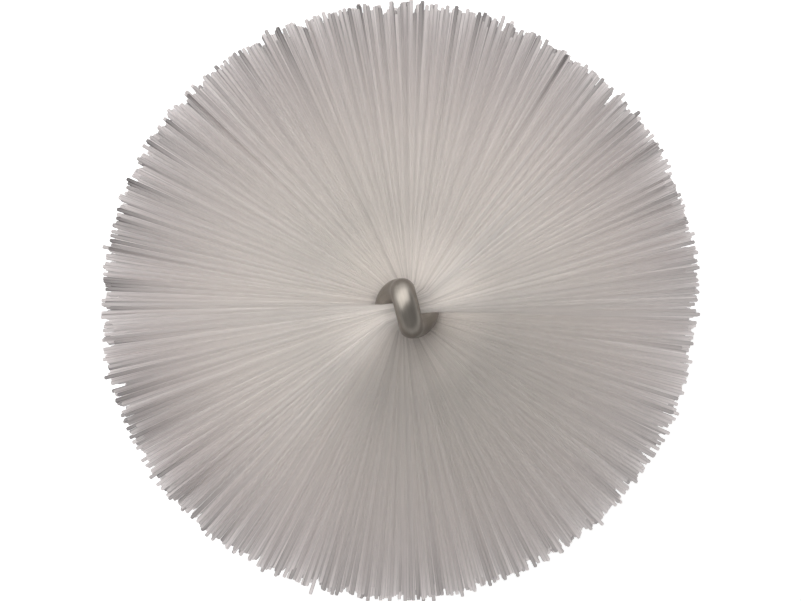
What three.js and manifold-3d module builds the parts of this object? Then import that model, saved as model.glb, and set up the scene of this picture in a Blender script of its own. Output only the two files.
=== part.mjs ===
// A pipe brush: a hairpin of stainless wire twisted round a layer of bristle filament, with a
// moulded socket that screws onto a handle. Lengths are in millimetres. +Z runs along the brush
// from the socket's open end, at z = 0, to the bend of the wire at the tip.
import * as THREE from "three";
import { mergeVertices } from "three/addons/utils/BufferGeometryUtils.js";
import Module from "manifold-3d";

// Driving dimensions of the brush
const BRUSH_DIAMETER = 90;
const BRISTLED_LENGTH = 145;
const BARE_STEM_LENGTH = 30;
const SOCKET_LENGTH = 74;

// The wire and its twist
const WIRE_DIAMETER = 3.7;
const FILAMENT_LAYER = 2.3; // what the two legs of the hairpin hold between them
const BEND_GAP = 1.7; // inside the bend, where the layer begins
const BARE_GAP = 0.5; // between the legs where they hold no filament
const TWIST_PITCH = 26; // length of brush in one full turn
const TWIST_ONSET = 6; // over which the twist builds up below the bend
const SPREAD_LENGTH = 6; // over which the legs spread from the bend to the full layer
const CLOSING_LENGTH = 9; // over which the legs close up below the bristles
const STEM_IN_SOCKET = 24;
const TIP_LAYER_ANGLE = THREE.MathUtils.degToRad(14); // of the filament layer at the tip, from +X
const FIT_GAP = 0.3; // clearance between neighbouring pieces
const WIRE_SIDES = 8;
const STEPS_PER_TURN = 14;
const BEND_STEPS = 10;

// The bristles: each strand stands for a small bundle of filaments
const SECTIONS = 4;
const STRAND_PAIRS = 60; // in each section, one strand to either side of the core
const LAYER_CLEARANCE = 0.55; // between the pinched filament and each leg
const STRAND_TIP_WIDTH = 0.8;
const STRAND_TIP_HEIGHT = 0.45;
const TRIM_VARIATION = 1.2; // by which the shortest bristles fall short of the longest
const GOLDEN_RATIO = (1 + Math.sqrt(5)) / 2;

// The handle socket
const FOOT_RADIUS = 18;
const COLLAR_HEIGHT = 11;
const BARREL_RADIUS = 16.4;
const SHOULDER_RADIUS = 14.2;
const SHOULDER_HEIGHT = 46;
const NECK_HEIGHT = 64;
const NOSE_RADIUS = 7.4;
const NOSE_TIP_RADIUS = 6.8;
const EDGE_ROUND = 1.2;
const BORE_RADIUS = 11.4;
const BORE_DEPTH = 42;
const BORE_END_DEPTH = 45; // at the point of the bore's coned bottom
const MOUTH_RADIUS = 12.8;
const MOUTH_CHAMFER = 1.6;
const SOCKET_FACETS = 48;
const ARC_POINTS = 4;

// Heights and offsets that follow from the dimensions above
const BRISTLES_FROM = SOCKET_LENGTH + BARE_STEM_LENGTH;
const BEND_BASE = BRISTLES_FROM + BRISTLED_LENGTH;
const WIRE_FROM = SOCKET_LENGTH - STEM_IN_SOCKET;
const WIRE_RADIUS = WIRE_DIAMETER / 2;
const LEG_OFFSET = (WIRE_DIAMETER + FILAMENT_LAYER) / 2;
const BEND_OFFSET = (WIRE_DIAMETER + BEND_GAP) / 2;
const BARE_LEG_OFFSET = (WIRE_DIAMETER + BARE_GAP) / 2;
const QUARTER_TURN = Math.PI / 2;

const wasm = await Module();
wasm.setup();

const steel = new THREE.MeshStandardMaterial({ color: 0xa8a196, roughness: 0.35, metalness: 1 });
const polyester = new THREE.MeshStandardMaterial({ color: 0xd8d2cb, roughness: 0.5, metalness: 0 });
const polypropylene = new THREE.MeshStandardMaterial({ color: 0xe9e8e4, roughness: 0.45, metalness: 0 });

// A closed geometry as a solid that can be joined and cut.
function solidOf(geometry) {
  const bare = geometry.clone();
  bare.deleteAttribute("normal");
  bare.deleteAttribute("uv");
  const merged = mergeVertices(bare);
  return new wasm.Manifold(
    new wasm.Mesh({
      numProp: 3,
      vertProperties: new Float32Array(merged.attributes.position.array),
      triVerts: new Uint32Array(merged.index.array),
    }),
  );
}

function geometryOf(solid) {
  const mesh = solid.getMesh();
  return new THREE.BufferGeometry()
    .setAttribute("position", new THREE.BufferAttribute(mesh.vertProperties, 3))
    .setIndex(new THREE.BufferAttribute(mesh.triVerts, 1));
}

function pieceOf(name, geometry, material) {
  const mesh = new THREE.Mesh(geometry, material);
  mesh.name = name;
  return mesh;
}

// The angle of the filament layer at a height. Seen from the tip it turns anticlockwise with
// depth, which makes the twist left-handed. The bend itself is not twisted.
function layerAngle(z) {
  const depth = Math.max(0, BEND_BASE - z);
  const building = (depth * depth) / (2 * TWIST_ONSET);
  const steady = depth - TWIST_ONSET / 2;
  const twisted = depth < TWIST_ONSET ? building : steady;
  return TIP_LAYER_ANGLE + (2 * Math.PI * twisted) / TWIST_PITCH;
}

// From the axis to the middle of a leg: wide along the bristles, drawn in at the bend and close
// together on the bare stem.
function legOffset(z) {
  const open = THREE.MathUtils.smoothstep(z, BRISTLES_FROM - CLOSING_LENGTH, BRISTLES_FROM);
  const drawnIn = THREE.MathUtils.smoothstep(z, BEND_BASE - SPREAD_LENGTH, BEND_BASE);
  const stemToLayer = THREE.MathUtils.lerp(BARE_LEG_OFFSET, LEG_OFFSET, open);
  return THREE.MathUtils.lerp(stemToLayer, BEND_OFFSET, drawnIn);
}

// The middle of the wire: up one leg, round the bend and down the other leg. The bend has steps
// of its own, closer together than those of the legs, so a step is a share of the count.
class TwistedHairpin extends THREE.Curve {
  constructor(lowerEnd) {
    super();
    this.lowerEnd = lowerEnd;
    this.legSteps = Math.ceil(((BEND_BASE - lowerEnd) / TWIST_PITCH) * STEPS_PER_TURN);
    this.steps = 2 * this.legSteps + BEND_STEPS;
  }

  getUtoTmapping(u) {
    return u;
  }

  getPoint(t, target = new THREE.Vector3()) {
    const step = t * this.steps;
    const fromEnd = Math.min(step, this.steps - step);
    const side = step < this.steps / 2 ? 1 : -1;
    const bendAngle = (Math.max(0, fromEnd - this.legSteps) / BEND_STEPS) * Math.PI;
    const climbed = Math.min(1, fromEnd / this.legSteps);
    const legHeight = THREE.MathUtils.lerp(this.lowerEnd, BEND_BASE, climbed);
    const offset = side * legOffset(legHeight) * Math.cos(bendAngle);
    const angle = layerAngle(legHeight) + QUARTER_TURN;
    const height = legHeight + BEND_OFFSET * Math.sin(bendAngle);
    return target.set(offset * Math.cos(angle), offset * Math.sin(angle), height);
  }
}

function wireAlong(hairpin, radius) {
  const corners = Array.from({ length: WIRE_SIDES }, (_, i) => {
    const angle = (i / WIRE_SIDES) * 2 * Math.PI;
    return new THREE.Vector2(radius * Math.cos(angle), radius * Math.sin(angle));
  });
  return new THREE.ExtrudeGeometry(new THREE.Shape(corners), {
    steps: hairpin.steps,
    extrudePath: hairpin,
  });
}

// The least distance between two stretches of the wire's surface that are not neighbours.
function leastGapToItself(hairpin) {
  const points = hairpin.getPoints(4 * hairpin.steps);
  const along = [0];
  points.slice(1).forEach((p, i) => along.push(along[i] + p.distanceTo(points[i])));
  let least = Infinity;
  points.forEach((a, i) => {
    for (let j = i + 1; j < points.length; j++) {
      if (along[j] - along[i] > 2 * WIRE_DIAMETER) least = Math.min(least, a.distanceTo(points[j]));
    }
  });
  return least - WIRE_DIAMETER;
}

function coreWire() {
  const hairpin = new TwistedHairpin(WIRE_FROM);
  console.log(`least gap of the wire to itself: ${leastGapToItself(hairpin).toFixed(2)} mm`);
  return pieceOf("core_wire", wireAlong(hairpin, WIRE_RADIUS), steel);
}

// One stretch of the pinched filament layer with its strands. The layer is a twisted ribbon of
// levels with four corners each. On both of its narrow edges a strand grows out of every step
// from one level to the next, and thins towards its tip so that it parts from its neighbours.
function bristleSection(name, from, to) {
  const halfWidth = LEG_OFFSET + WIRE_RADIUS + LAYER_CLEARANCE;
  const positions = [];
  const triangles = [];

  const addPoint = (x, y, z, angle) => {
    const turned = new THREE.Vector2(x, y).rotateAround(new THREE.Vector2(), angle);
    return positions.push(turned.x, turned.y, z) / 3 - 1;
  };
  const addQuad = (a, b, c, d) => triangles.push(a, b, c, a, c, d);
  const addLevel = (z) => {
    const angle = layerAngle(z);
    const halfLayer = legOffset(z) - WIRE_RADIUS - LAYER_CLEARANCE;
    return [
      addPoint(halfWidth, halfLayer, z, angle),
      addPoint(-halfWidth, halfLayer, z, angle),
      addPoint(-halfWidth, -halfLayer, z, angle),
      addPoint(halfWidth, -halfLayer, z, angle),
    ];
  };
  const addStrand = (root, reach, z, angle) => {
    const sides = [-STRAND_TIP_WIDTH / 2, STRAND_TIP_WIDTH / 2];
    const [low, high] = [z - STRAND_TIP_HEIGHT / 2, z + STRAND_TIP_HEIGHT / 2];
    const tip = [
      addPoint(reach, sides[0], low, angle),
      addPoint(reach, sides[1], low, angle),
      addPoint(reach, sides[1], high, angle),
      addPoint(reach, sides[0], high, angle),
    ];
    root.forEach((corner, i) => {
      const next = (i + 1) % root.length;
      addQuad(corner, root[next], tip[next], tip[i]);
    });
    addQuad(...tip);
  };

  let lower = addLevel(from);
  addQuad(lower[3], lower[2], lower[1], lower[0]);
  for (let i = 0; i < STRAND_PAIRS; i++) {
    const middle = THREE.MathUtils.lerp(from, to, (i + 0.5) / STRAND_PAIRS);
    const upper = addLevel(THREE.MathUtils.lerp(from, to, (i + 1) / STRAND_PAIRS));
    const reach = BRUSH_DIAMETER / 2 - TRIM_VARIATION * ((i * GOLDEN_RATIO) % 1);
    addQuad(lower[0], lower[1], upper[1], upper[0]);
    addQuad(lower[2], lower[3], upper[3], upper[2]);
    addStrand([lower[3], lower[0], upper[0], upper[3]], reach, middle, layerAngle(middle));
    addStrand([lower[1], lower[2], upper[2], upper[1]], reach, middle, layerAngle(middle) + Math.PI);
    lower = upper;
  }
  addQuad(...lower);

  const geometry = new THREE.BufferGeometry()
    .setAttribute("position", new THREE.Float32BufferAttribute(positions, 3))
    .setIndex(triangles);
  return pieceOf(name, geometry, polyester);
}

function bristleSections() {
  const length = BRISTLED_LENGTH / SECTIONS;
  return Array.from({ length: SECTIONS }, (_, i) => {
    const top = BEND_BASE - i * length;
    return bristleSection(`bristles_${i + 1}`, top - length + FIT_GAP, top);
  });
}

// The moulded socket: a collar at the open end, a tapered barrel round the bore that takes the
// handle, and a nose moulded round the twisted stem.
function handleSocket() {
  const profile = new THREE.Path();
  profile.moveTo(0, BORE_END_DEPTH);
  profile.lineTo(BORE_RADIUS, BORE_DEPTH);
  profile.lineTo(BORE_RADIUS, MOUTH_CHAMFER);
  profile.lineTo(MOUTH_RADIUS, 0);
  profile.lineTo(FOOT_RADIUS - EDGE_ROUND, 0);
  profile.absarc(FOOT_RADIUS - EDGE_ROUND, EDGE_ROUND, EDGE_ROUND, -QUARTER_TURN, 0);
  profile.lineTo(FOOT_RADIUS, COLLAR_HEIGHT - EDGE_ROUND);
  profile.quadraticCurveTo(FOOT_RADIUS, COLLAR_HEIGHT, BARREL_RADIUS, COLLAR_HEIGHT + EDGE_ROUND);
  profile.lineTo(SHOULDER_RADIUS, SHOULDER_HEIGHT);
  profile.bezierCurveTo(
    SHOULDER_RADIUS - 1,
    (SHOULDER_HEIGHT + NECK_HEIGHT) / 2,
    NOSE_RADIUS + 1,
    (SHOULDER_HEIGHT + NECK_HEIGHT) / 2,
    NOSE_RADIUS,
    NECK_HEIGHT,
  );
  profile.lineTo(NOSE_TIP_RADIUS, SOCKET_LENGTH - EDGE_ROUND);
  profile.absarc(
    NOSE_TIP_RADIUS - EDGE_ROUND,
    SOCKET_LENGTH - EDGE_ROUND,
    EDGE_ROUND,
    0,
    QUARTER_TURN,
  );
  profile.lineTo(0, SOCKET_LENGTH);

  const turned = new THREE.LatheGeometry(profile.getPoints(ARC_POINTS), SOCKET_FACETS);
  turned.rotateX(QUARTER_TURN);
  const seat = new TwistedHairpin(WIRE_FROM - FIT_GAP);
  const moulded = solidOf(turned).subtract(solidOf(wireAlong(seat, WIRE_RADIUS + FIT_GAP)));
  return pieceOf("handle_socket", geometryOf(moulded), polypropylene);
}

const pipeBrush = new THREE.Group();
pipeBrush.name = "pipe_brush";
pipeBrush.add(handleSocket(), coreWire(), ...bristleSections());

export default pipeBrush;
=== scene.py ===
"""Dresses the pipe brush: drawn wire, thousands of bristles and a moulded socket, on a pale stage."""

import math

import bpy
from bpy.props import FloatProperty, FloatVectorProperty, IntProperty, PointerProperty
from mathutils import Matrix, Vector
from mathutils.geometry import interpolate_bezier


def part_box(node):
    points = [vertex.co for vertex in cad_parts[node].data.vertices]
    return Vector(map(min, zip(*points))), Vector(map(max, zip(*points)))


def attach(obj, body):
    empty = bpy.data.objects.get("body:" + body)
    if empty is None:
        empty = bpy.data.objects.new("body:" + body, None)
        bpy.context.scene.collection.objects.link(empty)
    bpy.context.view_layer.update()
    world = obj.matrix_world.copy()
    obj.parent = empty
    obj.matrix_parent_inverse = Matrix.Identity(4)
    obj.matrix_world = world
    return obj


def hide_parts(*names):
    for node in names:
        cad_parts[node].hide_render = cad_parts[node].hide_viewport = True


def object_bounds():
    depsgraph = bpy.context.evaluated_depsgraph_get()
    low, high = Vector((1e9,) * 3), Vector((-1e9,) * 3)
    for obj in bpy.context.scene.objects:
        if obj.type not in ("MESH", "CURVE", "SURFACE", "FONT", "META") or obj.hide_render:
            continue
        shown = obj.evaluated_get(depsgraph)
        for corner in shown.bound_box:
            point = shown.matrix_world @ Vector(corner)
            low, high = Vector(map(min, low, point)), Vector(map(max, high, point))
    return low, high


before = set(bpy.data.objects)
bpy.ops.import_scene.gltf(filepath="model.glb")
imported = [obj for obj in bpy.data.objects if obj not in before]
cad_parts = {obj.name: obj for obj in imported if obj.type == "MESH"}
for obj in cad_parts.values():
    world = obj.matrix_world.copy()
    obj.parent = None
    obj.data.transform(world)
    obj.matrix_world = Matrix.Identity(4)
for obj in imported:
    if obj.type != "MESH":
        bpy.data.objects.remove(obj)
CAD_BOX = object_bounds()

bl_info = {
    "name": "Pipe Brush",
    "version": (1, 0, 0),
    "blender": (4, 5, 0),
    "location": "View3D > Sidebar > Pipe Brush",
    "description": "Makes a twisted-wire pipe brush with its handle socket",
    "category": "Object",
}

BRISTLE_NODES = ("bristles_1", "bristles_2", "bristles_3", "bristles_4")
BRISTLES_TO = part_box("bristles_1")[1].z
BRISTLES_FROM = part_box("bristles_4")[0].z
WIRE_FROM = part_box("core_wire")[0].z

# Steps round each rounded edge of the socket
ARC_STEPS = 8

# Steps of this share of a span never bunch up and never fall in rows
GOLDEN_SHARE = (math.sqrt(5) - 1) / 2


# Node trees


class Term:
    """A value in a node tree. Python's operators on it add Math nodes to the tree."""

    def __init__(self, sketch, socket):
        self.sketch = sketch
        self.socket = socket

    def out(self, name):
        """Another output of the same node."""
        return Term(self.sketch, find_socket(self.socket.node.outputs, name))

    def math(self, operation, *others):
        return self.sketch.math(operation, self, *others)

    def __add__(self, other):
        return self.math("ADD", other)

    def __sub__(self, other):
        return self.math("SUBTRACT", other)

    def __mul__(self, other):
        return self.math("MULTIPLY", other)

    def __truediv__(self, other):
        return self.math("DIVIDE", other)

    def __pow__(self, other):
        return self.math("POWER", other)

    def __rsub__(self, other):
        return self.sketch.math("SUBTRACT", other, self)

    def __rtruediv__(self, other):
        return self.sketch.math("DIVIDE", other, self)

    __radd__ = __add__
    __rmul__ = __mul__


class Sketch:
    """Adds nodes to one tree."""

    def __init__(self, tree):
        self.tree = tree

    def add(self, kind, sockets=None, output=0, **settings):
        """Adds a node of a type with its settings, then feeds its sockets with values or links."""
        node = self.tree.nodes.new(kind)
        for name, value in settings.items():
            setattr(node, name, value)
        for name, value in (sockets or {}).items():
            self.feed(find_socket(node.inputs, name), value)
        return Term(self, find_socket(node.outputs, output))

    def feed(self, socket, value):
        if isinstance(value, Term):
            self.tree.links.new(value.socket, socket)
        else:
            socket.default_value = value

    def math(self, operation, *values):
        return self.add("ShaderNodeMath", dict(enumerate(values)), operation=operation)

    def vector(self, x, y, z):
        return self.add("ShaderNodeCombineXYZ", {"X": x, "Y": y, "Z": z})

    def smoothstep(self, value, low, high):
        sockets = {"Value": value, "From Min": low, "From Max": high}
        return self.add("ShaderNodeMapRange", sockets, interpolation_type="SMOOTHSTEP")

    def blend(self, factor, first, second):
        """Goes from the first number to the second as the factor goes from 0 to 1."""
        return first + factor * (second - first)

    def fade(self, value):
        """Falls from 1 towards 0 as the value grows."""
        return (0.0 - value).math("EXPONENT")

    def mix(self, factor, first, second):
        """Goes from the first shader to the second as the factor goes from 0 to 1."""
        return self.add("ShaderNodeMixShader", {"Fac": factor, "Shader": first, "Shader_001": second})

    def blend_colour(self, factor, first, second):
        sockets = {"Factor_Float": factor, "A_Color": first, "B_Color": second}
        return self.add("ShaderNodeMix", sockets, "Result_Color", data_type="RGBA")


def find_socket(sockets, name):
    """A socket by its place, its identifier or its name."""
    if isinstance(name, int):
        return sockets[name]
    return next((s for s in sockets if s.identifier == name), None) or sockets[name]


class ShapeTree(Sketch):
    """A Geometry Nodes tree with named inputs."""

    KINDS = {int: "NodeSocketInt", float: "NodeSocketFloat"}

    def __init__(self, name, **inputs):
        super().__init__(bpy.data.node_groups.new(name, "GeometryNodeTree"))
        self.tree.interface.new_socket("Geometry", in_out="OUTPUT", socket_type="NodeSocketGeometry")
        self.values = {}
        for label, value in inputs.items():
            kind = self.KINDS[type(value)]
            socket = self.tree.interface.new_socket(label, in_out="INPUT", socket_type=kind)
            self.values[socket.identifier] = value
        self.inputs = self.tree.nodes.new("NodeGroupInput")

    def input(self, label):
        return Term(self, self.inputs.outputs[label])

    def random(self, low, high, seed):
        sockets = {"Min_001": low, "Max_001": high, "ID": self.index(), "Seed": seed}
        return self.add("FunctionNodeRandomValue", sockets, "Value_001", data_type="FLOAT")

    def bell(self, seed):
        """A random number of spread 1, bunched about 0."""
        first, second, third = (self.random(-1.0, 1.0, seed + i) for i in range(3))
        return first + second + third

    def index(self):
        return self.add("GeometryNodeInputIndex")

    def store(self, geometry, name, value, data_type="FLOAT"):
        sockets = {"Geometry": geometry, "Name": name, "Value": value}
        return self.add("GeometryNodeStoreNamedAttribute", sockets, data_type=data_type, domain="POINT")

    def stored(self, name):
        return self.add("GeometryNodeInputNamedAttribute", {"Name": name}, data_type="FLOAT")

    def finish(self, geometry, material):
        """Ends the tree with plain, smooth geometry in one material."""
        smooth = self.add("GeometryNodeSetShadeSmooth", {"Geometry": geometry})
        plain = self.add("GeometryNodeRealizeInstances", {"Geometry": smooth})
        dressed = self.add("GeometryNodeSetMaterial", {"Geometry": plain, "Material": material})
        output = self.tree.nodes.new("NodeGroupOutput")
        self.feed(output.inputs[0], dressed)

    def piece(self, name):
        """Evaluates the tree and returns its result as an object with a plain mesh."""
        carrier = bpy.data.objects.new(name + "_tree", bpy.data.meshes.new(name))
        bpy.context.scene.collection.objects.link(carrier)
        modifier = carrier.modifiers.new("shape", "NODES")
        modifier.node_group = self.tree
        for identifier, value in self.values.items():
            modifier[identifier] = value
        evaluated = carrier.evaluated_get(bpy.context.evaluated_depsgraph_get())
        mesh = bpy.data.meshes.new_from_object(evaluated)
        mesh.name = name
        bpy.data.objects.remove(carrier)
        return add_piece(name, mesh)


def add_piece(name, mesh):
    piece = bpy.data.objects.new(name, mesh)
    bpy.context.scene.collection.objects.link(piece)
    return piece


def seat(piece, slot, *nodes):
    """Puts a finished piece in the place of its solids."""
    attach(piece, "root")
    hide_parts(*nodes)


# Sizes and colours


def size(name, description, default):
    return FloatProperty(name=name, description=description, default=default, unit="LENGTH", precision=5)


def angle(name, description, degrees):
    return FloatProperty(name=name, description=description, default=math.radians(degrees), subtype="ANGLE")


def factor(name, description, default):
    return FloatProperty(
        name=name, description=description, default=default, min=0.0, max=1.0, subtype="FACTOR"
    )


def number(name, description, default):
    return FloatProperty(name=name, description=description, default=default)


def colour(name, description, default):
    return FloatVectorProperty(
        name=name, description=description, default=default, size=3, min=0.0, max=1.0, subtype="COLOR"
    )


class WireSettings(bpy.types.PropertyGroup):
    diameter: size("Wire Diameter", "Thickness of the wire", 0.0037)
    layer: size("Filament Layer", "Gap between the legs along the bristles", 0.0023)
    bend_gap: size("Bend Gap", "Gap inside the bend at the tip", 0.0017)
    bare_gap: size("Bare Gap", "Gap between the legs on the bare stem", 0.00004)
    pitch: size("Twist Pitch", "Length of brush in one full turn", 0.026)
    onset: size("Twist Onset", "Length below the bend over which the twist builds up", 0.006)
    spread: size("Spread Length", "Length below the bend over which the legs spread", 0.006)
    closing: size("Closing Length", "Length below the bristles over which the legs close", 0.009)
    layer_angle: angle("Layer Angle", "Direction of the filament layer at the tip", 14.0)
    steel: colour("Steel", "Colour of the drawn stainless wire", (0.258, 0.235, 0.207))


class BristleSettings(bpy.types.PropertyGroup):
    diameter: size("Brush Diameter", "Diameter to which the bristles are trimmed", 0.090)
    filament: size("Filament", "Thickness of one bristle", 0.00055)
    root: factor("Root", "Share of its thickness that a bristle has at the wire", 0.4)
    swell: size("Swell", "Length in which a bristle comes to its full thickness", 0.014)
    face_arc: angle("Face Arc", "Angle of the arc that a bristle's face follows", 110.0)
    end_length: number("End Length", "Length of a bristle's narrowed end, in thicknesses", 0.35)
    end_loss: factor("End Loss", "Share of its thickness that a bristle loses at its end", 0.4)
    crowding: number("Crowding", "Power by which a bristle's points crowd to the wire", 2.2)
    count: IntProperty(name="Bristles", description="Bristles in each section", default=2600, min=1)
    pivot: size("Pivot", "Distance from the axis at which a bristle leaves the wire", 0.0036)
    flare: number("Flare", "How much wider the layer is at the pivot", 1.6)
    splay: angle("Splay", "How far the outer bristles of the layer spread from its middle", 22.0)
    swing: angle("Swing", "Turn of the layer's middle from the gap between the legs", 8.0)
    shuffle: factor("Shuffle", "Random part of a bristle's place in the layer", 0.01)
    sway: angle("Sway", "Random turn of a bristle about the axis", 0.5)
    lean: angle("Lean", "Random tilt of a bristle along the axis", 0.4)
    fan: size("Fan", "How far one layer's bristles spread along the brush at their ends", 0.0026)
    spring: size("Spring", "How far the free bristles of the first turn spring forward", 0.0090)
    spring_depth: size("Spring Depth", "Depth below the tip at which bristles spring furthest", 0.0145)
    spring_length: size("Spring Length", "Length of brush over which the spring fades", 0.0055)
    spring_run: size("Spring Run", "Length of a bristle in which it springs forward", 0.0035)
    spring_fall: size("Spring Fall", "Length of a bristle in which the spring falls back", 0.022)
    droop: angle("Droop", "How far the first bristles tilt back from the tip", 10.4)
    droop_depth: size("Droop Depth", "Length of brush over which the droop fades", 0.045)
    curl: size("Curl", "Random sideways curve at the end of a bristle", 0.0004)
    ragged: size("Ragged Trim", "Random difference in reach", 0.00028)
    stray: size("Stray Ends", "How far the longest strays stand out", 0.0006)
    short: size("Short Ends", "How far the shortest bristles fall short", 0.0017)
    trim_x: size("Trim Offset X", "Sideways place of the trimmed circle", -0.00118)
    trim_y: size("Trim Offset Y", "Upward place of the trimmed circle", 0.00106)
    inner: colour("Inner Colour", "Colour of the bristles near the wire", (0.829, 0.811, 0.795))
    outer: colour("Outer Colour", "Colour of the bristles near their tips", (0.783, 0.735, 0.732))
    # Painted light: bristles are made paler near the wire, to lift the shade that falls among the roots
    # there
    paler_with_painted_light: number("Paler", "How much paler a bristle is at the wire", 0.12)
    painted_light_run: factor("Pale Run", "Share of its reach in which a bristle is paler", 0.27)
    # Painted shade: a bristle's edges are darkened near its tip
    painted_edge_shade: number("Edge Shade", "How much darker a bristle's edges are near its tip", 0.42)
    root_contrast: number("Root Contrast", "How much bristles differ at the wire", 0.22)
    tip_contrast: number("Tip Contrast", "How much bristles differ near their tips", 0.95)
    through: factor("Translucency", "Share of light that a bristle lets through", 0.90)
    clear: factor("Clearness", "Share of a lamp's light that passes a bristle", 0.98)


class SocketSettings(bpy.types.PropertyGroup):
    length: size("Socket Length", "From the rear face to the end of the nose", 0.074)
    foot_radius: size("Foot Radius", "Radius of the collar at the rear", 0.018)
    collar_height: size("Collar Height", "Length of the collar", 0.011)
    collar_flare: size("Collar Flare", "How far the barrel widens into the collar", 0.00036)
    flare_length: size("Flare Length", "Length over which the barrel widens", 0.0016)
    barrel_radius: size("Barrel Radius", "Radius of the barrel at the collar", 0.0164)
    shoulder_radius: size("Shoulder Radius", "Radius of the barrel at the shoulder", 0.0142)
    shoulder_height: size("Shoulder Height", "From the rear face to the shoulder", 0.046)
    shoulder_draw: size("Shoulder Draw", "How far the shoulder's curve leans in", 0.001)
    neck_height: size("Neck Height", "From the rear face to the end of the shoulder", 0.064)
    nose_radius: size("Nose Radius", "Radius of the nose at the shoulder", 0.0074)
    nose_tip_radius: size("Nose Tip Radius", "Radius of the nose at its end", 0.0068)
    nose_sink: size("Nose Sink", "How far the end of the nose dips towards the stem", 0.00015)
    edge_round: size("Edge Round", "Rounding of the outer edges", 0.0012)
    bore_radius: size("Bore Radius", "Radius of the bore for the handle", 0.0114)
    bore_depth: size("Bore Depth", "Depth of the bore's straight wall", 0.042)
    bore_end: size("Bore End", "Depth of the point of the bore's coned end", 0.045)
    bore_corner: size("Bore Corner", "Easing between the bore's wall and its coned end", 0.0004)
    mouth_radius: size("Mouth Radius", "Radius of the chamfered mouth", 0.0128)
    mouth_chamfer: size("Mouth Chamfer", "Depth of the mouth's chamfer", 0.0016)
    mouth_ease: size("Mouth Ease", "Easing of the chamfer's edges", 0.0002)
    thread_pitch: size("Thread Pitch", "Rise of the handle thread in one turn", 0.0045)
    thread_depth: size("Thread Depth", "Depth of the handle thread's groove", 0.0011)
    thread_start: size("Thread Start", "Depth at which the thread begins", 0.0018)
    thread_end: size("Thread End", "Depth at which the thread ends", 0.0410)
    thread_lead: size("Thread Lead", "Length over which the thread begins", 0.003)
    thread_runout: size("Thread Runout", "Length over which the thread ends", 0.004)
    plastic: colour("Plastic", "Colour of the moulded socket", (0.80, 0.80, 0.78))


class StageSettings(bpy.types.PropertyGroup):
    floor: colour("Floor", "Colour of the floor", (0.90, 0.90, 0.90))
    floor_size: size("Floor Size", "Length of the floor's sides", 8.0)
    floor_gap: size("Floor Gap", "From the socket down to the floor", 0.0003)
    floor_near: size("Near Floor", "Radius of the floor near the brush", 0.2)
    floor_far: size("Far Floor", "Distance past which the floor is far", 2.5)
    floor_lift: factor("Floor Lift", "Light added to the floor as seen", 0.50)
    far_lift: factor("Far Lift", "Further light added to the far floor as seen", 0.40)
    fill: number("Fill", "Strength of the even light from all round", 0.125)
    walls: number("Walls", "Light added to the low surroundings as seen", 0.80)
    sky: number("Sky", "Light added to the surroundings above as seen", 0.35)
    key: FloatProperty(name="Key", description="Power of the soft key light", default=25.5, unit="POWER")
    key_tilt: angle("Key Tilt", "Angle of the key light from straight above", 53.0)
    key_turn: angle("Key Turn", "Direction of the key light about the axis", 120.0)
    key_width: size("Key Width", "Width of the key light", 2.70)
    key_height: size("Key Height", "Height of the key light", 1.30)
    key_distance: size("Key Distance", "From the tip of the brush to the key light", 1.0)
    camera_distance: size("Camera Distance", "From the front bristles to the camera", 0.8)
    view_width: size("View Width", "Width of the picture at the front bristles", 0.1186)
    view_x: size("View X", "Sideways place of the camera", -0.00098)
    view_y: size("View Y", "Upward place of the camera", 0.00116)


class BrushSettings(bpy.types.PropertyGroup):
    wire: PointerProperty(name="Wire", description="The twisted core", type=WireSettings)
    bristles: PointerProperty(name="Bristles", description="The filaments", type=BristleSettings)
    socket: PointerProperty(name="Socket", description="The handle socket", type=SocketSettings)
    stage: PointerProperty(name="Stage", description="Floor, lights and camera", type=StageSettings)


# Shapes that the pieces share


def layer_turn(height, wire):
    """The angle of the filament layer at a height, as the solids have it."""
    depth = (BRISTLES_TO - height).math("MAXIMUM", 0.0)
    building = depth.math("MINIMUM", wire.onset)
    twisted = building * building / (2.0 * wire.onset) + depth - building
    return twisted * (2.0 * math.pi / wire.pitch) + wire.layer_angle


def leg_offset(sketch, height, wire):
    """From the axis to the middle of a leg at a height, as the solids have it."""
    gaps = (wire.bare_gap, wire.layer, wire.bend_gap)
    bare, along, bend = ((wire.diameter + gap) / 2 for gap in gaps)
    opened = sketch.smoothstep(height, BRISTLES_FROM - wire.closing, BRISTLES_FROM)
    drawn_in = sketch.smoothstep(height, BRISTLES_TO - wire.spread, BRISTLES_TO)
    return opened * (along - bare) + drawn_in * (bend - along) + bare


# Materials

# Marks to the metre
WIRE_LINES = 5200.0
WIRE_PATCHES = 420.0
WIRE_GRAIN = 9000.0
FILAMENT_CLOUDS = 900.0
PLASTIC_CLOUDS = 60.0
PLASTIC_GRAIN = 2600.0

BLACK = (0.0, 0.0, 0.0, 1.0)
WHITE = (1.0, 1.0, 1.0, 1.0)


def new_material(name):
    material = bpy.data.materials.new(name)
    material.use_nodes = True
    material.node_tree.nodes.clear()
    return material, Sketch(material.node_tree)


def show(sketch, shader):
    output = sketch.tree.nodes.new("ShaderNodeOutputMaterial")
    sketch.feed(output.inputs["Surface"], shader)


def attribute(sketch, name, output="Fac"):
    return sketch.add("ShaderNodeAttribute", output=output, attribute_name=name)


def tint(base, level=1.0):
    """A lighter or darker shade of a colour, with full alpha."""
    return (*(min(1.0, level * channel) for channel in base), 1.0)


def noise(sketch, vector, scale, detail=3.0, roughness=0.5):
    sockets = {"Vector": vector, "Scale": scale, "Detail": detail, "Roughness": roughness}
    return sketch.add("ShaderNodeTexNoise", sockets)


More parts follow.
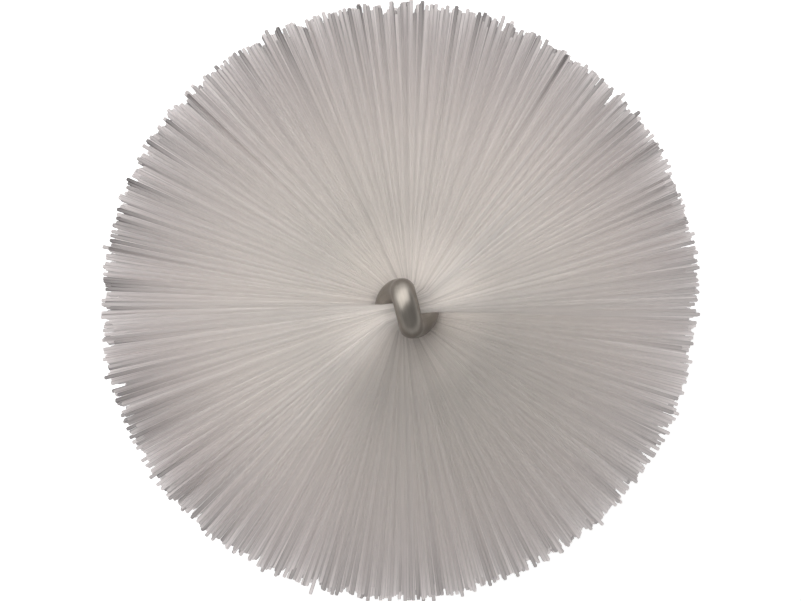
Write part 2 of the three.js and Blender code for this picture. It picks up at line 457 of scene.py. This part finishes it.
def steel_material(wire):
    """Drawn stainless wire: satin, with fine lines along its length and faint dull patches."""
    material, sketch = new_material("drawn_stainless")
    skin = attribute(sketch, "skin", "Vector")
    stretched = sketch.add("ShaderNodeMapping", {"Vector": skin, "Scale": (1.0, 1.0, 0.03)})
    lines = noise(sketch, stretched, WIRE_LINES, 4.0, 0.6)
    patches = noise(sketch, skin, WIRE_PATCHES)
    grain = noise(sketch, skin, WIRE_GRAIN, 2.0)
    shade = sketch.smoothstep(patches * 0.6 + lines * 0.4, 0.30, 0.70)
    height = lines * 0.75 + grain * 0.25
    bump = sketch.add("ShaderNodeBump", {"Strength": 0.25, "Distance": 0.00004, "Height": height})
    sockets = {
        "Base Color": sketch.blend_colour(shade, tint(wire.steel, 0.80), tint(wire.steel, 1.12)),
        "Metallic": 1.0,
        "Roughness": patches * 0.10 + lines * 0.08 + 0.27,
        "Normal": bump,
    }
    show(sketch, sketch.add("ShaderNodeBsdfPrincipled", sockets))
    return material


def filament_level(sketch, bristles, tone, along):
    """How light a bristle is, with painted light near the wire and painted shade on its edges near the tip.
    The powers gather each difference at one end of it.
    """
    cloud = noise(sketch, sketch.add("ShaderNodeTexCoord", output="Object"), FILAMENT_CLOUDS, 2.0)
    # Painted light: paler near the wire, where the roots lie in shade
    at_root = 1.0 - sketch.smoothstep(along, 0.0, bristles.painted_light_run)
    # Painted shade on the edges of a bristle near its tip
    edge = sketch.smoothstep(attribute(sketch, "edge"), 0.5, 1.0) * along**4.0
    contrast = along**7.0 * bristles.tip_contrast + (1.0 - along) ** 6.0 * bristles.root_contrast + 0.02
    darker = cloud * 0.01 + tone * tone * contrast + edge * bristles.painted_edge_shade
    return 0.985 - darker + at_root * bristles.paler_with_painted_light


def filament_material(bristles):
    """White polyester filament that lets light through, no two bristles quite alike."""
    material, sketch = new_material("polyester_filament")
    tone = attribute(sketch, "tone")
    along = attribute(sketch, "along")
    outward = along**3.0
    # The palest level holds the painted light near the wire
    palest = 1.0 + bristles.paler_with_painted_light
    level = filament_level(sketch, bristles, tone, along) / palest
    inner, outer = tint(bristles.inner, palest), tint(bristles.outer, palest)

    tinted = sketch.blend_colour(level, BLACK, sketch.blend_colour(outward, inner, outer))
    sockets = {"Base Color": tinted, "Roughness": tone * 0.12 + 0.34, "IOR": 1.5}
    surface = sketch.add("ShaderNodeBsdfPrincipled", sockets)
    at_wire, at_end, dark = (
        sketch.add("ShaderNodeBsdfTranslucent", {"Color": shade}) for shade in (inner, outer, BLACK)
    )
    through = sketch.mix(level, dark, sketch.mix(outward, at_wire, at_end))
    filament = sketch.mix(bristles.through, surface, through)
    thin = sketch.mix(bristles.clear, filament, sketch.add("ShaderNodeBsdfTransparent"))
    falls_on = sketch.add("ShaderNodeLightPath", output="Is Shadow Ray")
    show(sketch, sketch.mix(falls_on, filament, thin))
    return material


def plastic_material(socket):
    """Moulded white polypropylene, satin, with the faint grain of the mould."""
    material, sketch = new_material("moulded_polypropylene")
    place = sketch.add("ShaderNodeTexCoord", output="Object")
    cloud = noise(sketch, place, PLASTIC_CLOUDS, 4.0)
    grain = noise(sketch, place, PLASTIC_GRAIN, 2.0)
    bump = sketch.add("ShaderNodeBump", {"Strength": 0.15, "Distance": 0.00005, "Height": grain})
    sockets = {
        "Base Color": sketch.blend_colour(cloud, tint(socket.plastic, 0.93), tint(socket.plastic)),
        "Roughness": cloud * 0.10 + grain * 0.06 + 0.30,
        "Subsurface Weight": 0.15,
        "Subsurface Radius": (0.003, 0.003, 0.0028),
        "Subsurface Scale": 1.0,
        "Normal": bump,
    }
    show(sketch, sketch.add("ShaderNodeBsdfPrincipled", sockets))
    return material


def seen_directly(sketch):
    """1 for what the camera sees, also in metal or through a bristle, and 0 for light on things."""
    path = sketch.add("ShaderNodeLightPath", output="Is Camera Ray")
    return path.math("MAXIMUM", path.out("Is Glossy Ray")).math("MAXIMUM", path.out("Is Transmission Ray"))


def floor_material(stage):
    """A pale floor that keeps the shadow and looks white where the light falls."""
    material, sketch = new_material("pale_floor")
    matt = sketch.add("ShaderNodeBsdfDiffuse", {"Color": tint(stage.floor)})
    place = sketch.add("ShaderNodeTexCoord", output="Object")
    away = sketch.add("ShaderNodeVectorMath", {0: place}, "Value", operation="LENGTH")
    far = sketch.smoothstep(away, stage.floor_near, stage.floor_far)
    level = seen_directly(sketch) * (far * stage.far_lift + stage.floor_lift)
    unlit, lit = (sketch.add("ShaderNodeEmission", {"Strength": strength}) for strength in (0.0, 1.0))
    show(sketch, sketch.add("ShaderNodeAddShader", {0: matt, 1: sketch.mix(level, unlit, lit)}))
    return material


# Operators


class PIPEBRUSH_OT_core_wire(bpy.types.Operator):
    """Makes the twisted hairpin of wire with its bend at the tip"""

    bl_idname = "pipebrush.core_wire"
    bl_label = "Core Wire"

    def execute(self, context):
        wire = context.scene.pipe_brush.wire
        tree = ShapeTree("Twisted Hairpin", **{"Leg Steps": 260, "Bend Steps": 40, "Sides": 28})
        legs, bend = tree.input("Leg Steps"), tree.input("Bend Steps")
        steps = legs * 2.0 + bend
        line = tree.add("GeometryNodeCurvePrimitiveLine")
        sockets = {"Curve": line, "Count": steps + 1.0}
        path = tree.add("GeometryNodeResampleCurve", sockets, mode="COUNT")

        step = tree.index()
        from_end = step.math("MINIMUM", steps - step)
        before_middle = steps / 2.0 - step + 0.25
        side = before_middle.math("SIGN")
        bend_turn = (from_end - legs).math("MAXIMUM", 0.0) / bend * math.pi
        climbed = (from_end / legs).math("MINIMUM", 1.0)
        height = tree.blend(climbed, WIRE_FROM, BRISTLES_TO)
        offset = side * leg_offset(tree, height, wire) * bend_turn.math("COSINE")
        turn = layer_turn(height, wire) + math.pi / 2
        rise = bend_turn.math("SINE") * ((wire.diameter + wire.bend_gap) / 2)
        place = tree.vector(offset * turn.math("COSINE"), offset * turn.math("SINE"), height + rise)
        bent = tree.add("GeometryNodeSetPosition", {"Geometry": path, "Position": place})

        reach = tree.add("GeometryNodeSplineParameter", output="Length")
        measured = tree.store(bent, "reach", reach)
        sockets = {"Resolution": tree.input("Sides"), "Radius": wire.diameter / 2}
        circle = tree.add("GeometryNodeCurvePrimitiveCircle", sockets)
        position = tree.add("GeometryNodeInputPosition")
        rim = tree.store(circle, "rim", position, "FLOAT_VECTOR")
        sockets = {"Curve": measured, "Profile Curve": rim, "Fill Caps": True}
        tube = tree.add("GeometryNodeCurveToMesh", sockets)
        around = tree.add("GeometryNodeInputNamedAttribute", {"Name": "rim"}, data_type="FLOAT_VECTOR")
        across = tree.add("ShaderNodeSeparateXYZ", {"Vector": around})
        skin = tree.vector(across.out("X"), across.out("Y"), tree.stored("reach"))
        marked = tree.store(tube, "skin", skin, "FLOAT_VECTOR")
        tree.finish(marked, steel_material(wire))
        seat(tree.piece("drawn_core_wire"), "stainless_wire", "core_wire")
        return {"FINISHED"}


class PIPEBRUSH_OT_bristles(bpy.types.Operator):
    """Makes the four sections of bristles, pinched in the twist of the wire"""

    bl_idname = "pipebrush.bristles"
    bl_label = "Bristles"

    SEED_STEP = 100
    LINE_STEPS = 6

    def execute(self, context):
        settings = context.scene.pipe_brush
        material = filament_material(settings.bristles)
        length = (BRISTLES_TO - BRISTLES_FROM) / len(BRISTLE_NODES)
        for i, node in enumerate(BRISTLE_NODES):
            top = BRISTLES_TO - i * length
            tree = self.section(settings, material, top, top - length, self.SEED_STEP * i)
            seat(tree.piece("filaments_" + node[-1]), "bristle_filament", node)
        return {"FINISHED"}

    def section(self, settings, material, top, bottom, seed):
        """The tree of one section: a point for each bristle, a line on each, a face along each line."""
        wire, bristles = settings.wire, settings.bristles
        inputs = {"Count": bristles.count, "Top": top, "Bottom": bottom, "Points Across": 5, "Seed": seed}
        tree = ShapeTree("Bristle Section", **inputs)
        lines = self.lines(tree, self.points(tree, wire, bristles), wire, bristles)
        width = tree.add("GeometryNodeInputRadius")
        sockets = {"Curve": lines, "Profile Curve": self.face(tree, bristles), "Scale": width}
        tree.finish(tree.add("GeometryNodeCurveToMesh", sockets), material)
        return tree

    def points(self, tree, wire, bristles):
        """One point for each bristle, with what sets it apart. A bell takes three seeds."""
        count, base = tree.input("Count"), tree.input("Seed")
        points = tree.add("GeometryNodePoints", {"Count": count})
        index = tree.index()
        share = (index + tree.random(0.0, 1.0, base)) / count
        height = tree.blend(share, tree.input("Top"), tree.input("Bottom"))
        arm = index.math("FLOORED_MODULO", 2.0) * math.pi
        turn = layer_turn(height, wire)
        evenly = (index / 2.0).math("FLOOR") * GOLDEN_SHARE - turn / (2.0 * bristles.splay)
        shuffled = evenly + tree.random(0.0, bristles.shuffle, base + 1.0)
        slot = shuffled.math("FRACT") * 2.0 - 1.0
        depth = BRISTLES_TO - height
        past_droop = depth / bristles.droop_depth
        past_spring = (depth - bristles.spring_depth) / bristles.spring_length

        # High powers make strays and short ends rare
        strays = tree.random(0.0, 1.0, base + 14.0) ** 30.0
        shorts = tree.random(0.0, 1.0, base + 15.0) ** 5.0
        uneven = strays * bristles.stray - shorts * bristles.short

        marks = {
            "height": height,
            "turn": turn + arm,
            "slot": slot,
            "splay": slot * bristles.splay + bristles.swing + tree.bell(base + 2.0) * bristles.sway,
            "droop": tree.fade(past_droop * past_droop) * math.tan(bristles.droop),
            "spring": tree.fade(past_spring * past_spring) * bristles.spring,
            "lean": tree.bell(base + 5.0) * bristles.lean,
            "curl": tree.bell(base + 8.0) * bristles.curl,
            "trim": tree.bell(base + 11.0) * bristles.ragged + uneven,
            "tone": tree.random(0.0, 1.0, base + 16.0),
        }
        for name, value in marks.items():
            points = tree.store(points, name, value)
        return points

    def lines(self, tree, points, wire, bristles):
        """A line on each point, from the axis past the pivot to the tip, with its thickness."""
        line = tree.add("GeometryNodeCurvePrimitiveLine")
        sockets = {"Curve": line, "Count": self.LINE_STEPS + 1}
        path = tree.add("GeometryNodeResampleCurve", sockets, mode="COUNT")
        placed = tree.add("GeometryNodeInstanceOnPoints", {"Points": points, "Instance": path})
        lines = tree.add("GeometryNodeRealizeInstances", {"Geometry": placed})

        # The first step leads to the pivot, the last one is the narrowed end
        step = tree.add("GeometryNodeSplineParameter", output="Index")
        at_root = step.math("LESS_THAN", 0.5)
        at_tip = step.math("GREATER_THAN", self.LINE_STEPS - 0.5)
        evenly = ((step - 1.0) / (self.LINE_STEPS - 2.0)).math("MAXIMUM", 0.0).math("MINIMUM", 1.0)
        crowded = evenly**bristles.crowding

        # How far each bristle reaches to the trimmed circle, and each point along it
        turn, splay, slot = tree.stored("turn"), tree.stored("splay"), tree.stored("slot")
        heading = turn + splay
        pinched = slot * ((wire.layer - bristles.filament) / 2)
        across = pinched * bristles.flare
        off_centre = heading.math("COSINE") * bristles.trim_x + heading.math("SINE") * bristles.trim_y
        radius = off_centre + tree.stored("trim") + bristles.diameter / 2
        ahead = splay.math("COSINE") * bristles.pivot + across * splay.math("SINE")
        squared = ahead * ahead + radius * radius - bristles.pivot**2 - across * across
        reach = squared.math("SQRT") - ahead
        end = bristles.filament * bristles.end_length
        run = crowded * (reach - end) + at_tip * end

        # Where that point lies
        share = run / reach
        curl = tree.stored("curl") * share * share
        start = bristles.pivot - at_root * bristles.pivot
        side = across + at_root * (pinched - across)
        sprung = (1.0 - tree.fade(run / bristles.spring_run)) * tree.fade(run / bristles.spring_fall)
        tilt = tree.stored("lean").math("TANGENT") - tree.stored("droop")
        rise = tree.stored("spring") * sprung + slot * share * bristles.fan + run * tilt + curl / 2.0
        cos_turn, sin_turn = turn.math("COSINE"), turn.math("SINE")
        cos_head, sin_head = heading.math("COSINE"), heading.math("SINE")
        place = tree.vector(
            start * cos_turn - side * sin_turn + run * cos_head - curl * sin_head,
            start * sin_turn + side * cos_turn + run * sin_head + curl * cos_head,
            tree.stored("height") + rise,
        )
        laid = tree.add("GeometryNodeSetPosition", {"Geometry": lines, "Position": place})
        marked = tree.store(laid, "along", run / (bristles.diameter / 2))
        thick = tree.blend(tree.smoothstep(run, 0.0, bristles.swell), bristles.root, 1.0)
        sockets = {"Curve": marked, "Radius": thick - at_tip * bristles.end_loss}
        return tree.add("GeometryNodeSetCurveRadius", sockets)

    def face(self, tree, bristles):
        """The arc across a bristle, marked from 0 in its middle to 1 at its edges."""
        half = bristles.filament / 2
        sockets = {
            "Resolution": tree.input("Points Across"),
            "Radius": half / math.sin(bristles.face_arc / 2),
            "Start Angle": (math.pi - bristles.face_arc) / 2,
            "Sweep Angle": bristles.face_arc,
        }
        face = tree.add("GeometryNodeCurveArc", sockets)
        position = tree.add("GeometryNodeInputPosition")
        aside = tree.add("ShaderNodeSeparateXYZ", {"Vector": position}, "X")
        return tree.store(face, "edge", aside.math("ABSOLUTE") / half)


class PIPEBRUSH_OT_handle_socket(bpy.types.Operator):
    """Makes the moulded socket with the thread for a handle"""

    bl_idname = "pipebrush.handle_socket"
    bl_label = "Handle Socket"

    FACETS = 120
    THREAD_RINGS = 100
    FLARE_STEPS = 4
    BARREL_STEPS = 12
    SHOULDER_POINTS = 25
    SHARP_DEGREES = 35
    CLOSING_RADIUS = 0.0004

    def execute(self, context):
        socket = context.scene.pipe_brush.socket
        seat(self.turned_piece(socket), "socket_plastic", "handle_socket")
        return {"FINISHED"}

    def turned_piece(self, socket):
        """Turns the outline round the axis. The rings of the bore wind in and out as the thread."""
        rings = self.bore_rings(socket) + self.outer_rings(socket)
        verts = []
        for radius, height, depth in rings:
            for i in range(self.FACETS):
                turn = 2 * math.pi * i / self.FACETS
                cut = radius + depth * self.groove(height / socket.thread_pitch - i / self.FACETS)
                verts.append((cut * math.cos(turn), cut * math.sin(turn), height))
        faces = []
        for ring in range(len(rings) - 1):
            low, high = ring * self.FACETS, (ring + 1) * self.FACETS
            for i in range(self.FACETS):
                following = (i + 1) % self.FACETS
                faces.append((low + i, low + following, high + following, high + i))
        faces.append(tuple(reversed(range(self.FACETS))))
        faces.append(tuple(range(len(verts) - self.FACETS, len(verts))))
        mesh = bpy.data.meshes.new("moulded_socket")
        mesh.from_pydata(verts, [], faces)
        mesh.polygons.foreach_set("use_smooth", [True] * len(mesh.polygons))
        mesh.materials.append(plastic_material(socket))
        mesh.set_sharp_from_angle(angle=math.radians(self.SHARP_DEGREES))
        return add_piece("moulded_socket", mesh)

    def groove(self, turns):
        """A groove once in each turn of the thread, flat on its crest and in its root."""
        return min(1.0, max(0.0, 0.4 + 0.8 * math.cos(2 * math.pi * turns)))

    def bore_rings(self, socket):
        """From the coned end of the bore down to the rear face, as (radius, height, groove depth)."""
        slope = (socket.bore_end - socket.bore_depth) / socket.bore_radius
        cone = socket.bore_radius - socket.bore_corner
        cone_radii = (self.CLOSING_RADIUS, cone / 2, cone)
        rings = [(radius, socket.bore_end - slope * radius, 0.0) for radius in cone_radii]
        rings.append((socket.bore_radius, socket.bore_depth - socket.bore_corner, 0.0))
        for i in range(self.THREAD_RINGS + 1):
            below = (socket.thread_end - socket.thread_start) * i / self.THREAD_RINGS
            height = socket.thread_end - below
            begun = (height - socket.thread_start) / socket.thread_lead
            depth = socket.thread_depth * max(0.0, min(1.0, below / socket.thread_runout, begun))
            rings.append((socket.bore_radius, height, depth))
        ease = socket.mouth_ease
        rings.append((socket.bore_radius + ease, socket.mouth_chamfer - ease, 0.0))
        rings.append((socket.mouth_radius - ease, 1.5 * ease, 0.0))
        rings.append((socket.mouth_radius + ease / 2, 0.0, 0.0))
        return rings

    def outer_rings(self, socket):
        """From the rear face round its edge, over collar, barrel and shoulder, to the nose."""
        edge = socket.edge_round
        collar = socket.foot_radius - edge
        nose_edge = socket.length - edge
        rings = arc(collar, edge, edge, -90, 0)
        rings += arc(collar, socket.collar_height - edge, edge, 0, 75)
        for i in range(1, self.FLARE_STEPS + 1):
            share = i / self.FLARE_STEPS
            radius = socket.barrel_radius + socket.collar_flare * (1 - share) ** 2
            rings.append((radius, socket.collar_height + socket.flare_length * share, 0.0))
        barrel = Vector((socket.barrel_radius, socket.collar_height + socket.flare_length))
        shoulder = Vector((socket.shoulder_radius, socket.shoulder_height))
        middle = (socket.shoulder_height + socket.neck_height) / 2
        leaning = Vector((socket.shoulder_radius - socket.shoulder_draw, middle))
        coming_in = Vector((socket.nose_radius + socket.shoulder_draw, middle))
        neck = Vector((socket.nose_radius, socket.neck_height))
        nose = Vector((socket.nose_tip_radius, nose_edge))
        points = [barrel.lerp(shoulder, i / self.BARREL_STEPS) for i in range(1, self.BARREL_STEPS)]
        points += interpolate_bezier(shoulder, leaning, coming_in, neck, self.SHOULDER_POINTS)
        points.append(neck.lerp(nose, 0.5))
        rings += [(point.x, point.y, 0.0) for point in points]
        rings += arc(socket.nose_tip_radius - edge, nose_edge, edge, 0, 90)
        rings.append((socket.nose_tip_radius - 1.5 * edge, socket.length - socket.nose_sink / 3, 0.0))
        rings.append((self.CLOSING_RADIUS, socket.length - socket.nose_sink, 0.0))
        return rings


def arc(radius, height, bend, first, last):
    """Rings round an edge, from one angle to another about a centre."""
    rings = []
    for i in range(ARC_STEPS + 1):
        turn = math.radians(first + (last - first) * i / ARC_STEPS)
        rings.append((radius + bend * math.cos(turn), height + bend * math.sin(turn), 0.0))
    return rings


class PIPEBRUSH_OT_stage(bpy.types.Operator):
    """Makes the floor, the lights and the camera above the tip"""

    bl_idname = "pipebrush.stage"
    bl_label = "Stage"

    def execute(self, context):
        stage = context.scene.pipe_brush.stage
        context.scene.view_settings.view_transform = "Standard"
        self.floor(stage)
        self.world(context.scene, stage)
        self.key(stage)
        self.camera(context.scene, stage)
        return {"FINISHED"}

    def floor(self, stage):
        half = stage.floor_size / 2
        mesh = bpy.data.meshes.new("floor")
        around = ((-half, -half), (half, -half), (half, half), (-half, half))
        corners = [(x, y, -stage.floor_gap) for x, y in around]
        mesh.from_pydata(corners, [], [(0, 1, 2, 3)])
        mesh.materials.append(floor_material(stage))
        add_piece("floor", mesh)

    def world(self, scene, stage):
        world = bpy.data.worlds.new("studio")
        world.use_nodes = True
        world.node_tree.nodes.clear()
        sketch = Sketch(world.node_tree)
        direction = sketch.add("ShaderNodeTexCoord", output="Generated")
        rise = sketch.add("ShaderNodeSeparateXYZ", {"Vector": direction}, "Z")
        horizon_from, horizon_to = 0.02, 0.12
        overhead = sketch.smoothstep(rise, horizon_from, horizon_to)
        lift = sketch.blend(overhead, stage.walls, stage.sky)
        strength = seen_directly(sketch) * lift + stage.fill
        light = sketch.add("ShaderNodeBackground", {"Color": WHITE, "Strength": strength})
        output = world.node_tree.nodes.new("ShaderNodeOutputWorld")
        sketch.feed(output.inputs["Surface"], light)
        scene.world = world

    def key(self, stage):
        lamp = bpy.data.lights.new("key", "AREA")
        lamp.energy = stage.key
        lamp.shape = "RECTANGLE"
        lamp.size = stage.key_width
        lamp.size_y = stage.key_height
        lamp_object = bpy.data.objects.new("key", lamp)
        lamp_object.visible_camera = False
        away = Vector((
            math.sin(stage.key_tilt) * math.cos(stage.key_turn),
            math.sin(stage.key_tilt) * math.sin(stage.key_turn),
            math.cos(stage.key_tilt),
        ))
        tip = Vector((0.0, 0.0, CAD_BOX[1][2]))
        facing = away.to_track_quat("Z", "Y").to_matrix().to_4x4()
        lamp_object.matrix_world = Matrix.Translation(tip + away * stage.key_distance) @ facing
        bpy.context.scene.collection.objects.link(lamp_object)

    def camera(self, scene, stage):
        camera = bpy.data.cameras.new("camera")
        camera.sensor_width = 36.0
        camera.lens = camera.sensor_width * stage.camera_distance / stage.view_width
        camera.clip_end = 50.0
        camera_object = bpy.data.objects.new("camera", camera)
        camera_object.location = (stage.view_x, stage.view_y, BRISTLES_TO + stage.camera_distance)
        scene.collection.objects.link(camera_object)
        scene.camera = camera_object


class PIPEBRUSH_PT_panel(bpy.types.Panel):
    """Lists the steps that make the brush"""

    bl_idname = "PIPEBRUSH_PT_panel"
    bl_label = "Pipe Brush"
    bl_space_type = "VIEW_3D"
    bl_region_type = "UI"
    bl_category = "Pipe Brush"

    def draw(self, context):
        for operator in OPERATORS:
            self.layout.operator(operator.bl_idname)
        settings = context.scene.pipe_brush
        for group in (settings.wire, settings.bristles, settings.socket, settings.stage):
            box = self.layout.box()
            for name in group.__annotations__:
                box.prop(group, name)


SETTINGS = (WireSettings, BristleSettings, SocketSettings, StageSettings, BrushSettings)
OPERATORS = (
    PIPEBRUSH_OT_core_wire,
    PIPEBRUSH_OT_bristles,
    PIPEBRUSH_OT_handle_socket,
    PIPEBRUSH_OT_stage,
)
CLASSES = (*SETTINGS, *OPERATORS, PIPEBRUSH_PT_panel)


def register():
    for cls in CLASSES:
        bpy.utils.register_class(cls)
    bpy.types.Scene.pipe_brush = PointerProperty(
        name="Pipe Brush", description="All settings", type=BrushSettings
    )


def unregister():
    del bpy.types.Scene.pipe_brush
    for cls in reversed(CLASSES):
        bpy.utils.unregister_class(cls)


def main():
    register()
    bpy.ops.pipebrush.core_wire()
    bpy.ops.pipebrush.bristles()
    bpy.ops.pipebrush.handle_socket()
    bpy.ops.pipebrush.stage()


if __name__ == "__main__":
    main()
